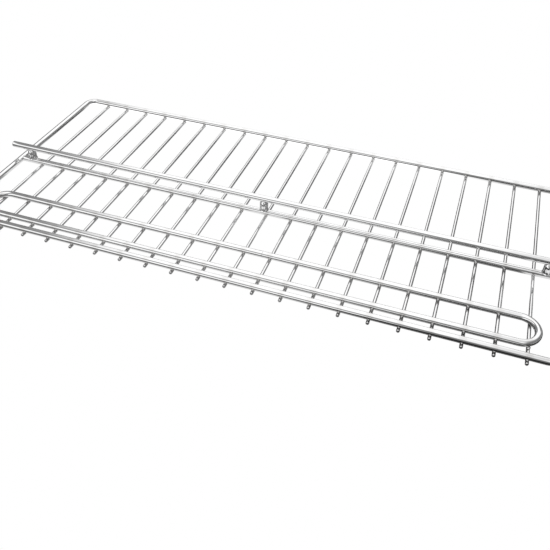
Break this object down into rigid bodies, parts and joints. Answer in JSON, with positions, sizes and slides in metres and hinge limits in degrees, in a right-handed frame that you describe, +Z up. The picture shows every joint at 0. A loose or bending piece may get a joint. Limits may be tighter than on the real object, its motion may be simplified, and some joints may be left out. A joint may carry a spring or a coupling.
{
  "type": "cabinet pull-out wire rack",
  "caption": "Flat welded wire rack for the inside of a cabinet: fine deck wires under a rod frame, a toe loop at the front and a raised bar on short posts whose ends carry the rack.",
  "frame": {"origin": "under the middle of the rack, on the plane its deck wires rest on", "axes": "+X along the rack's width, +Y to its rear, +Z up; the toe loop is at the front, -Y"},
  "size_m": [0.56, 0.252, 0.0239],
  "materials": {
    "rod_plating": "bright chrome plating over drawn steel rod",
    "wire_plating": "bright chrome plating over fine drawn wire, greyer at the cut ends",
    "post_plating": "bright chrome plating over turned steel posts"
  },
  "bodies": {
    "root": {"frame": "rod_plating", "toe_loop": "rod_plating", "middle_rail": "rod_plating", "raised_bar": "rod_plating", "post_left": "post_plating", "post_middle": "post_plating", "post_right": "post_plating", "deck_wire_01": "wire_plating", "deck_wire_02": "wire_plating", "deck_wire_03": "wire_plating", "deck_wire_04": "wire_plating", "deck_wire_05": "wire_plating", "deck_wire_06": "wire_plating", "deck_wire_07": "wire_plating", "deck_wire_08": "wire_plating", "deck_wire_09": "wire_plating", "deck_wire_10": "wire_plating", "deck_wire_11": "wire_plating", "deck_wire_12": "wire_plating", "deck_wire_13": "wire_plating", "deck_wire_14": "wire_plating", "deck_wire_15": "wire_plating", "deck_wire_16": "wire_plating", "deck_wire_17": "wire_plating", "deck_wire_18": "wire_plating", "deck_wire_19": "wire_plating", "deck_wire_20": "wire_plating", "deck_wire_21": "wire_plating"}
  },
  "joints": []
}
